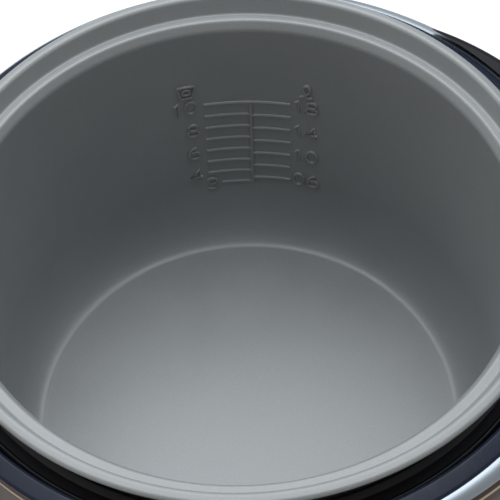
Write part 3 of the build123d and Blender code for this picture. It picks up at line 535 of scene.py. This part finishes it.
# --- the pot --------------------------------------------------------------------------------
def pot_outline(wall_r, depth, thickness):
    """The pot's section: inside from the floor's middle out, over the lip and back underneath."""
    floor_z = WALL_TOP - depth
    foot_r = wall_r - WALL_TAPER
    crease_r = foot_r - 14.4 * MM
    # A cubic curve from the crease round the floor up into the wall.
    first, second, third, fourth = [Vector(p) for p in (
        (crease_r, floor_z + 0.12 * MM), (crease_r + 5.5 * MM, floor_z + 0.55 * MM),
        (foot_r - 1.4 * MM, floor_z + 8.5 * MM), (foot_r + 0.85 * MM, floor_z + 35 * MM))]
    line = [(0, floor_z), (crease_r - 1.5 * MM, floor_z), (crease_r - 1.2 * MM, floor_z + 0.02 * MM),
            (crease_r - 0.3 * MM, floor_z + 0.13 * MM)]
    steps = 24
    for k in range(steps + 1):
        t = k / steps
        line.append(tuple((1 - t) ** 3 * first + 3 * t * (1 - t) ** 2 * second
                          + 3 * t * t * (1 - t) * third + t ** 3 * fourth))
    return line + rounded([
        # top of the wall, ledge and groove
        (wall_r - 0.35 * MM, WALL_TOP - 14 * MM, 0), (wall_r - 0.1 * MM, WALL_TOP, 5 * MM),
        (wall_r + 2.4 * MM, WALL_TOP + 4.2 * MM, 1.6 * MM),
        (LIP_R - 7.6 * MM, WALL_TOP + 3.7 * MM, 1.2 * MM),
        # riser and rolled lip
        (LIP_R - 4.5 * MM, WALL_TOP + LIP_RISE + 0.4 * MM, 2.2 * MM),
        (LIP_R - 0.1 * MM, WALL_TOP + 11.5 * MM, 2.4 * MM), (LIP_R, WALL_TOP + 9.3 * MM, 0.8 * MM),
        (LIP_R - 1.2 * MM, WALL_TOP + 8.8 * MM, 0.5 * MM),
        (LIP_R - 3 * MM, WALL_TOP + 9.6 * MM, 0.6 * MM),
        (LIP_R - 6 * MM, WALL_TOP + 2.2 * MM, 1.5 * MM),
        # outside wall and underside
        (wall_r + thickness, WALL_TOP - 1.2 * MM, 3 * MM),
        (foot_r + thickness, floor_z - thickness, 22 * MM), (0, floor_z - thickness, 0),
    ], 10)


def figure_lines():
    """Strokes of the scale's figures and its cup and litre marks, from its middle and top line."""
    lines = []
    # Each text has the place of its characters across and its height against the top line, in mm.
    for characters, places, level in (
        ("10", (-26.4, -20.0), 0), ("8", (-19.6,), -15.86), ("6", (-19.8,), -31.72),
        ("4", (-19.0,), -47.58), ("3", (-12.0,), -55.4), ("1.8", (29.2, 32.4, 36.0), 0),
        ("1.4", (29.2, 32.4, 36.2), -16.8), ("1.0", (29.2, 32.4, 36.0), -33.8),
        ("0.6", (29.6, 33.2, 36.6), -51.2),
    ):
        for character, across in zip(characters, places):
            strokes, width = FIGURES[character]
            for stroke in strokes:
                lines.append([((across * MM) + (x - width / 2) * FIGURE_HEIGHT,
                               level * MM + (y - 0.5) * FIGURE_HEIGHT) for x, y in stroke])
    cup = [(-25.6, 14.0), (-24.4, 6.8), (-18.9, 6.8), (-17.7, 14.0), (-25.6, 14.0)]
    mound = arc_points(-21.6, 10.6, 1.9, 1.7, 0, 360, 20)
    litre = ([(30.4, 6.6), (32.6, 7.6)] + arc_points(33.6, 11.6, 1.6, 2.6, -60, 240, 18)
             + [(33.4, 7.2), (34.6, 6.4), (36.4, 7.2)])
    return lines + [[(x * MM, y * MM) for x, y in mark] for mark in (cup, mound, litre)]


class COOKER_OT_pot(bpy.types.Operator):
    """Lift-out pot with its rolled lip and the raised level scale on its wall"""
    bl_idname = "cooker.pot"
    bl_label = "Pot"

    def execute(self, context):
        s = context.scene.cooker_pot
        material = coated("non-stick coating", s.coating, 0.36, 1300.0, 0.00009, 0.0, 0.06, 0.16)
        pot = lathe(pot_outline(s.wall_r, s.depth, s.thickness), AXIS, 360, closed=False)
        add_object("pot", pot, material, "pot", ["inner_pot"])

        taper = WALL_TAPER / s.depth

        def radius_at(z):
            return s.wall_r + (z - WALL_TOP) * taper

        top = WALL_TOP - TOP_LINE_DROP
        bar = AWAY_TURN - math.radians(3.9)
        litre_sweep = math.radians(9.5)
        tree = level_line_tree()
        for name, count, pitch, height, start, sweep in (
            ("pot_cup_lines", CUP_LINES, CUP_PITCH, top, bar, math.radians(11.1)),
            ("pot_short_line", 1, CUP_PITCH, top - CUP_LINES * CUP_PITCH, bar, math.radians(7.7)),
            ("pot_litre_lines", LITRE_LINES, LITRE_PITCH, top, bar - litre_sweep, litre_sweep),
        ):
            lines = run_tree(
                tree, bpy.data.meshes.new("none"), Lines=count, Pitch=pitch, Top=height,
                Start_angle=start, Sweep=sweep, Radius=s.wall_r, Taper=taper, Wall_top=WALL_TOP,
                Bead=2.0 * MM, Relief=s.scale_rise, Axis=AXIS, Material=material)
            add_object(name, lines, material, "pot")

        upright = [[(0, 0.4 * MM), (0, -55.9 * MM)]]
        for name, strokes, bead, middle, relief in (
            ("pot_scale_bar", upright, 2.4 * MM, bar, s.scale_rise),
            ("pot_figures", figure_lines(), 1.5 * MM, AWAY_TURN, s.scale_rise * 1.3),
        ):
            mesh = relief_mesh(strokes, bead, radius_at, top, middle, AXIS, relief)
            add_object(name, mesh, material, "pot")
        return {"FINISHED"}


# --- the fixed body -------------------------------------------------------------------------
def blended_wall(outline, segments=288):
    """A wall whose level sections go from the deck's circle to the larger, set-back body circle."""
    work = bmesh.new()
    inner = DECK_R + 0.3 * MM
    rings = []
    for share, z, inset in outline:
        r = inner + (SHELL_R - inner) * share - inset
        y = AXIS.y + SHELL_BACK * share
        rings.append([work.verts.new((AXIS.x + r * math.cos(a), y + r * math.sin(a), z))
                      for a in (2 * math.pi * k / segments for k in range(segments))])
    for low, high in zip(rings, rings[1:] + rings[:1]):
        for k in range(segments):
            n = (k + 1) % segments
            work.faces.new([low[k], low[n], high[n], high[k]])
    bmesh.ops.recalc_face_normals(work, faces=work.faces)
    mesh = bpy.data.meshes.new("wall")
    work.to_mesh(mesh)
    work.free()
    return mesh


LEDGE = WALL_TOP - 13.2 * MM         # height of the collar's ledge round the pot
GROOVE_R = DECK_R - 8.6 * MM         # where the collar meets the deck
WELL_R = DECK_R - 20.4 * MM          # inner edge of the collar


def collar_outline():
    """The recessed collar's section."""
    return rounded([
        (WELL_R, LEDGE, 0), (WELL_R, LEDGE + 3.6 * MM, 0.5 * MM),
        (WELL_R + 3.1 * MM, LEDGE + 2 * MM, 1 * MM), (WELL_R + 7.1 * MM, LEDGE + 2.1 * MM, 0.8 * MM),
        (WELL_R + 8.1 * MM, LEDGE + 2.7 * MM, 0.5 * MM),
        (WELL_R + 8.9 * MM, LEDGE + 2.1 * MM, 0.4 * MM),
        (WELL_R + 9.5 * MM, LEDGE + 0.4 * MM, 0.6 * MM), (GROOVE_R, LEDGE + 0.4 * MM, 0),
        (GROOVE_R, LEDGE - 2 * MM, 0), (WELL_R + 4.4 * MM, LEDGE - 2 * MM, 0),
        (WELL_R + 4.4 * MM, LEDGE, 0),
    ], 5)


def deck_outline():
    """The deck ring's section: up from the groove, over the top and down behind the rim."""
    top = DECK_HIGH.z
    return rounded([
        (GROOVE_R, LEDGE - 2 * MM, 0), (GROOVE_R, LEDGE + 1 * MM, 0.3 * MM),
        (DECK_R - 7.6 * MM, top - 1.2 * MM, 0.5 * MM), (DECK_R - 7 * MM, top - 0.3 * MM, 0.5 * MM),
        (DECK_R - 6 * MM, top, 1 * MM), (DECK_R - 0.9 * MM, top - 1.7 * MM, 0.8 * MM),
        (DECK_R, top - 2.5 * MM, 0.3 * MM), (DECK_R, top - 2.9 * MM, 0),
        (DECK_R - 1.6 * MM, top - 2.9 * MM, 0), (DECK_R - 1.6 * MM, top - 6 * MM, 0),
        (DECK_R - 4 * MM, top - 6 * MM, 0), (DECK_R - 4 * MM, top - 3.4 * MM, 0),
        (DECK_R - 4.8 * MM, top - 3.4 * MM, 0), (GROOVE_R + 2.4 * MM, LEDGE - 2 * MM, 0),
    ], 6)


def wall_outline():
    """The outer wall's section for blended_wall: share, height and inset of each level."""
    edge = SHELL_HIGH.z - 1.3 * MM
    sheet = 1 * MM
    steps = 14
    shoulder = []
    for k in range(1, steps + 1):
        turn = k * math.pi / 2 / steps
        drop = 12.2 * MM * (1 - math.cos(turn)) ** 1.1
        shoulder.append((math.sin(turn) ** 1.15, edge - drop, 0))
    wall = [(0.0, edge, 1.2 * MM), (0.0, edge, 0.1 * MM)] + shoulder
    wall += [(1.0, SHELL_LOW.z, 0), (1.0, SHELL_LOW.z, sheet), (1.0, SHELL_HIGH.z - 14.5 * MM, sheet)]
    return wall + [(share, z - sheet, sheet) for share, z, _ in reversed(shoulder[:-1])]


class COOKER_OT_body(bpy.types.Operator):
    """Deck ring and collar round the pot's mouth, and the steel wall"""
    bl_idname = "cooker.body"
    bl_label = "Body"

    def execute(self, context):
        s = context.scene.cooker_body
        black = coated("collar plastic", s.collar, 0.42, 1500.0, 0.00003)
        add_object("collar", lathe(collar_outline(), AXIS, 360), black, "cooker", ["well_collar"])
        gloss = faint(glossy_plastic("deck gloss", s.deck, 0.26, 0.0), 0.2)
        add_object("deck", lathe(deck_outline(), AXIS, 360), gloss, "cooker", ["deck_ring"])
        add_object("shell", blended_wall(wall_outline()), wall_finish(s.steel, s.housing), "cooker",
                   ["body_shell"])
        return {"FINISHED"}


# --- screws ---------------------------------------------------------------------------------
def screw_tree():
    """Cross-recess pan-head screws standing on points, all facing one way."""
    t = Tree("Screws", [
        ("Head radius", "Float", 0.0034), ("Head height", "Float", 0.0016),
        ("Shank radius", "Float", 0.002), ("Shank length", "Float", 0.024),
        ("Direction", "Vector", (0, 0, 1)), ("Material", "Material", None)])
    given = t.given.outputs
    radius, height = given["Head radius"], given["Head height"]
    cap = t.node("GeometryNodeMeshCone", Vertices=40, Radius_Bottom=radius, Depth=height,
                 Radius_Top=t.math("MULTIPLY", radius, 0.84))
    blade = [t.math("MULTIPLY", radius, share) for share in (1.25, 0.3)]
    lift = t.node("ShaderNodeCombineXYZ", Z=height).outputs[0]
    cutters = []
    for along, across in (blade, blade[::-1]):
        size = t.node("ShaderNodeCombineXYZ", X=along, Y=across,
                      Z=t.math("MULTIPLY", height, 1.3)).outputs[0]
        box = t.node("GeometryNodeMeshCube", Size=size)
        cutters.append(t.node("GeometryNodeTransform", Geometry=box.outputs[0], Translation=lift))
    recessed = t.node("GeometryNodeMeshBoolean", {"operation": "DIFFERENCE"}, Mesh_1=cap.outputs[0])
    for cutter in cutters:
        t.tree.links.new(cutter.outputs[0], recessed.inputs["Mesh 2"])
    shank = t.node("GeometryNodeMeshCylinder", Vertices=24, Radius=given["Shank radius"],
                   Depth=given["Shank length"])
    overlap = t.math("MULTIPLY", height, 0.2)
    down = t.math("SUBTRACT", overlap, t.math("MULTIPLY", given["Shank length"], 0.5))
    sunk = t.node("GeometryNodeTransform", Geometry=shank.outputs[0],
                  Translation=t.node("ShaderNodeCombineXYZ", Z=down).outputs[0])
    screw = t.node("GeometryNodeMeshBoolean", {"operation": "UNION"})
    for part in (recessed, sunk):
        t.tree.links.new(part.outputs[0], screw.inputs["Mesh 2"])
    turn = t.node("FunctionNodeAlignRotationToVector", {"axis": "Z"}, Vector=given["Direction"])
    placed = t.node("GeometryNodeInstanceOnPoints", Points=given["Geometry"],
                    Instance=screw.outputs[0], Rotation=turn.outputs[0])
    return t.finish(placed.outputs[0], given["Material"])


def screw_seats(node, direction, head_height):
    """Seat point of each screw in a CAD node, where its head meets the part."""
    heaps = []
    for vertex in node.data.vertices:
        place = node.matrix_world @ vertex.co
        along = place.dot(direction)
        flat = place - along * direction
        for heap in heaps:
            if (heap[0][0] - flat).length < 12 * MM:
                heap.append((flat, along))
                break
        else:
            heaps.append([(flat, along)])
    seats = []
    for heap in heaps:
        spread = [[flat[k] for flat, _ in heap] for k in range(3)]
        middle = Vector([(min(line) + max(line)) / 2 for line in spread])
        seats.append(middle + direction * (max(along for _, along in heap) - head_height))
    return seats


class COOKER_OT_screws(bpy.types.Operator):
    """Cross-recess screws of the base, the rear cover and the lid"""
    bl_idname = "cooker.screws"
    bl_label = "Screws"

    def execute(self, context):
        tree = screw_tree()
        metal = brushed("screw steel", (0.62, 0.62, 0.6), 0.3, (300, 300, 300))
        for name, body, direction, head_r, head_h, length in (
            ("base_screws", "cooker", Vector((0, 0, -1)), 3.6, 1.8, 22.0),
            ("rear_screws", "cooker", Vector((0, 1, 0)), 3.4, 1.6, 24.0),
            ("lid_screws", "lid", UNDER_LID, 3.0, 1.1, 4.6),
        ):
            node = frame["nodes"][name]
            mesh = bpy.data.meshes.new(name)
            mesh.from_pydata([tuple(p) for p in screw_seats(node, direction, head_h * MM)], [], [])
            screws = run_tree(
                tree, mesh, Head_radius=head_r * MM, Head_height=head_h * MM,
                Shank_radius=2 * MM, Shank_length=length * MM, Direction=direction, Material=metal)
            add_object(name.replace("_", "_cross_"), screws, metal, body, [name],
                       smooth=False)
        return {"FINISHED"}


# --- finishes for the pieces whose CAD shape is right --------------------------------------
ZONE_DEPTH = 12 * MM                 # height of the band at the wall's top that changes colour
ZONE_RISE = 0.9 * MM                 # top of that band above the shell's top
ZONE_TILT = 0.02                     # how much lower the zones lie towards the back
STEEL_FROM = 0.667                   # share of the band where the bare steel starts


def wall_finish(steel, housing):
    """Polished steel shoulder over a bronze wall, parted by a pale line and, just under the steel, a
    band of painted shade in the seam.
    """
    material = brushed("shell steel", steel, 0.5, (5, 5, 700), 0.04)
    tree = material.node_tree
    shader = principled(material)
    link = tree.links.new
    place = tree.nodes.new("ShaderNodeTexCoord")
    split = tree.nodes.new("ShaderNodeSeparateXYZ")
    link(place.outputs["Object"], split.inputs[0])
    tilt = tree.nodes.new("ShaderNodeMath")
    tilt.operation = "MULTIPLY_ADD"
    tilt.inputs[1].default_value = ZONE_TILT
    link(split.outputs["Y"], tilt.inputs[0])
    link(split.outputs["Z"], tilt.inputs[2])
    high = SHELL_HIGH.z + ZONE_TILT * AXIS.y + ZONE_RISE
    share = remap(tree, tilt.outputs[0], 0.0, 1.0, high - ZONE_DEPTH, high)
    ramp = tree.nodes.new("ShaderNodeValToRGB")
    ramp.color_ramp.interpolation = "CONSTANT"
    pale = (0.42, 0.34, 0.25)
    # The band from 0.508 to STEEL_FROM is painted shade: the bronze darkened to 0.8 in the seam under
    # the steel.
    stops = ((0.0, housing), (0.425, pale), (0.508, shade(housing, 0.8)), (STEEL_FROM, steel))
    while len(ramp.color_ramp.elements) < len(stops):
        ramp.color_ramp.elements.new(0.5)
    for element, (position, colour) in zip(ramp.color_ramp.elements, stops):
        element.position = position
        element.color = (*colour, 1)
    link(share, ramp.inputs["Fac"])
    bare = tree.nodes.new("ShaderNodeMath")
    bare.operation = "GREATER_THAN"
    bare.inputs[1].default_value = STEEL_FROM
    link(share, bare.inputs[0])
    choose = tree.nodes.new("ShaderNodeMix")
    choose.data_type = "RGBA"
    link(bare.outputs[0], choose.inputs["Factor"])
    link(ramp.outputs["Color"], choose.inputs["A"])
    link(shader.inputs["Base Color"].links[0].from_socket, choose.inputs["B"])
    link(choose.outputs["Result"], shader.inputs["Base Color"])
    link(remap(tree, bare.outputs[0], 0.35, 1.0, 0.0, 1.0), shader.inputs["Metallic"])
    return material


def lens_finish():
    """Smoked clear window."""
    material, tree, shader = new_material("smoked lens")
    smear = noise(tree, object_vector(tree, (1, 4, 1)), 90.0, 5.0, 0.7)
    cloud = noise(tree, object_vector(tree), 30.0, 2.0)
    tree.links.new(two_colours(tree, cloud, (0.05, 0.055, 0.06), (0.09, 0.1, 0.11)),
                   shader.inputs["Base Color"])
    tree.links.new(remap(tree, smear, 0.04, 0.11), shader.inputs["Roughness"])
    shader.inputs["Transmission Weight"].default_value = 0.75
    shader.inputs["IOR"].default_value = 1.49
    return material


class COOKER_OT_finishes(bpy.types.Operator):
    """Finishes for every CAD piece that keeps its shape"""
    bl_idname = "cooker.finishes"
    bl_label = "Finishes"

    def execute(self, context):
        body = context.scene.cooker_body
        lid = context.scene.cooker_lid
        centre = (AXIS.x, AXIS.y, 0)
        finishes = {
            "shell_steel": wall_finish(body.steel, body.housing),
            "dark_plastic": faint(
                coated("dark plastic", (0.01, 0.01, 0.013), 0.34, 1200.0, 0.00003), 0.1),
            "deck_gloss": glossy_plastic("black gloss", body.deck, 0.16, 0.7),
            "aluminium": turned_metal("spun aluminium", (0.72, 0.73, 0.74), centre, 0.3),
            "cast_plate": turned_metal("cast plate", (0.5, 0.5, 0.5), centre, 0.42, 900.0),
            "heater_steel": brushed("heater steel", (0.3, 0.28, 0.26), 0.4),
            "mica_band": coated("mica band", (0.3, 0.2, 0.11), 0.5, 400.0, 0.0001, 0.0, 0.35),
            "zinc_steel": brushed("zinc steel", (0.62, 0.62, 0.6), 0.3, (300, 300, 300)),
            "spring_steel": brushed("spring steel", (0.42, 0.42, 0.43), 0.28, (200, 900, 200)),
            "ceramic_white": coated("ceramic", (0.75, 0.73, 0.68), 0.35, 900.0, 0.00002),
            "board_green": coated("circuit board", (0.02, 0.13, 0.05), 0.35, 500.0, 0.00002, 0.0, 0.3),
            "component_black": coated("component black", (0.02, 0.02, 0.022), 0.4, 800.0),
            "brass": brushed("brass", (0.78, 0.58, 0.26), 0.25, (300, 300, 300)),
            "rubber": coated("foot rubber", (0.03, 0.03, 0.03), 0.75, 600.0, 0.0001),
            "housing_brown": coated("housing bronze", body.housing, 0.28, 1500.0, 0.00002, 0.35, 0.08),
            "lens": lens_finish(),
            "display_grey": coated("display", (0.3, 0.34, 0.3), 0.4, 700.0, 0.00001),
            "button_silver": coated("button silver", (0.45, 0.46, 0.48), 0.3, 1200.0, 0.00002, 0.6),
            "button_amber": coated("button amber", (0.5, 0.2, 0.03), 0.3, 1200.0, 0.00002, 0.2),
            "hook_black": coated("hook plastic", (0.02, 0.02, 0.022), 0.38, 700.0),
            "dew_smoke": glossy_plastic("smoked plastic", (0.03, 0.032, 0.035), 0.14, 0.3),
            "lid_gloss": glossy_plastic("lid gloss", lid.cover, 0.14, 0.8),
            "liner_grey": coated("liner grey", lid.liner, 0.4, 900.0, 0.00004),
            "silicone": coated("silicone", (0.33, 0.34, 0.35), 0.5, 700.0, 0.00003, 0.0, 0.06),
            "steam_black": coated("steam cap", (0.015, 0.015, 0.018), 0.3, 1000.0, 0.00003),
            "lid_plate": turned_metal("lid plate", (0.7, 0.71, 0.72), (0, 0, 0), 0.22),
            "pot_coating": coated("spare coating", context.scene.cooker_pot.coating, 0.36),
        }
        for node in frame["nodes"].values():
            node.data.materials[0] = finishes[node.data.materials[0].name]
        return {"FINISHED"}


# --- stage ----------------------------------------------------------------------------------
class COOKER_OT_stage(bpy.types.Operator):
    """Pale floor, a broad cool light over the pot's far side, a weak fill and the camera"""
    bl_idname = "cooker.stage"
    bl_label = "Stage"

    def execute(self, context):
        s = context.scene.cooker_stage
        scene = context.scene
        floor, tree, shader = new_material("studio floor")
        paper = noise(tree, object_vector(tree), 3.0, 2.0)
        tree.links.new(two_colours(tree, paper, shade(s.floor, 0.97), shade(s.floor, 1.03)),
                       shader.inputs["Base Color"])
        shader.inputs["Roughness"].default_value = 0.8
        mesh = bpy.data.meshes.new("floor")
        reach = 6.0
        corners = [(-reach, -reach, 0), (reach, -reach, 0), (reach, reach, 0), (-reach, reach, 0)]
        mesh.from_pydata(corners, [], [(0, 1, 2, 3)])
        mesh.materials.append(floor)
        ground = bpy.data.objects.new("floor", mesh)
        scene.collection.objects.link(ground)

        world = bpy.data.worlds.new("surroundings")
        world.use_nodes = True
        world.node_tree.nodes["Background"].inputs["Color"].default_value = (0.98, 0.975, 0.945, 1)
        world.node_tree.nodes["Background"].inputs["Strength"].default_value = s.ambient
        scene.world = world
        scene.view_settings.view_transform = "Standard"

        mouth = AXIS + Vector((0, 0, WALL_TOP))
        # The camera looks over the near rim at the scale, with a slight turn and roll.
        heading, dip, roll = AWAY_TURN - math.radians(0.5), math.radians(53.7), math.radians(-2.3)
        forward = Vector((math.cos(heading) * math.cos(dip), math.sin(heading) * math.cos(dip),
                          -math.sin(dip)))
        side = Vector((math.sin(heading), -math.cos(heading), 0))
        over = side.cross(forward)
        right = math.cos(roll) * side + math.sin(roll) * over
        up = -math.sin(roll) * side + math.cos(roll) * over

        def aim(position, target):
            look = (target - position).normalized()
            return Matrix.Translation(position) @ look.to_track_quat("-Z", "Y").to_matrix().to_4x4()

        for name, turn, rise, distance, size, power, colour in (
            ("key", 170.0, 69.5, 1.7, 1.9, s.key_power, (0.92, 0.962, 1.0)),
            ("fill", 250.0, 30.0, 2.2, 1.6, s.key_power * 0.1, (1.0, 0.98, 0.95)),
        ):
            lamp = bpy.data.lights.new(name, "AREA")
            lamp.shape = "SQUARE"
            lamp.size = size
            lamp.energy = power
            lamp.color = colour
            holder = bpy.data.objects.new(name, lamp)
            scene.collection.objects.link(holder)
            t, e = math.radians(turn), math.radians(rise)
            place = mouth + distance * Vector((math.cos(t) * math.cos(e), math.sin(t) * math.cos(e),
                                               math.sin(e)))
            holder.matrix_world = aim(place, mouth)

        lens = bpy.data.cameras.new("camera")
        lens.lens = 127.8
        lens.sensor_width = 36.0
        back, above = 0.4231, 0.5667
        camera = bpy.data.objects.new("camera", lens)
        scene.collection.objects.link(camera)
        place = mouth + Vector((-back * math.cos(AWAY_TURN), -back * math.sin(AWAY_TURN), above))
        camera.matrix_world = Matrix((
            (right.x, up.x, -forward.x, place.x),
            (right.y, up.y, -forward.y, place.y),
            (right.z, up.z, -forward.z, place.z),
            (0, 0, 0, 1),
        ))
        scene.camera = camera
        return {"FINISHED"}


class COOKER_PT_panel(bpy.types.Panel):
    """Sidebar panel that lists the cooker's groups"""
    bl_label = "Cooker"
    bl_space_type = "VIEW_3D"
    bl_region_type = "UI"
    bl_category = "Cooker"

    def draw(self, context):
        for group, operators in SECTIONS:
            box = self.layout.box()
            settings = getattr(context.scene, group)
            for name in settings.__annotations__:
                box.prop(settings, name)
            for operator in operators:
                box.operator(operator.bl_idname)


GROUPS = {
    "cooker_pot": PotSettings, "cooker_body": BodySettings, "cooker_lid": LidSettings,
    "cooker_stage": StageSettings,
}
SECTIONS = (
    ("cooker_pot", (COOKER_OT_pot,)),
    ("cooker_body", (COOKER_OT_body, COOKER_OT_screws)),
    ("cooker_lid", (COOKER_OT_finishes,)),
    ("cooker_stage", (COOKER_OT_stage,)),
)


def register():
    for kind in GROUPS.values():
        bpy.utils.register_class(kind)
    for name, kind in GROUPS.items():
        setattr(bpy.types.Scene, name, bpy.props.PointerProperty(type=kind))
    for _, operators in SECTIONS:
        for operator in operators:
            bpy.utils.register_class(operator)
    bpy.utils.register_class(COOKER_PT_panel)


def unregister():
    bpy.utils.unregister_class(COOKER_PT_panel)
    for _, operators in reversed(SECTIONS):
        for operator in operators:
            bpy.utils.unregister_class(operator)
    for name, kind in GROUPS.items():
        delattr(bpy.types.Scene, name)
        bpy.utils.unregister_class(kind)


def main():
    register()
    bpy.ops.cooker.finishes()
    bpy.ops.cooker.pot()
    bpy.ops.cooker.body()
    bpy.ops.cooker.screws()
    bpy.ops.cooker.stage()


if __name__ == "__main__":
    main()
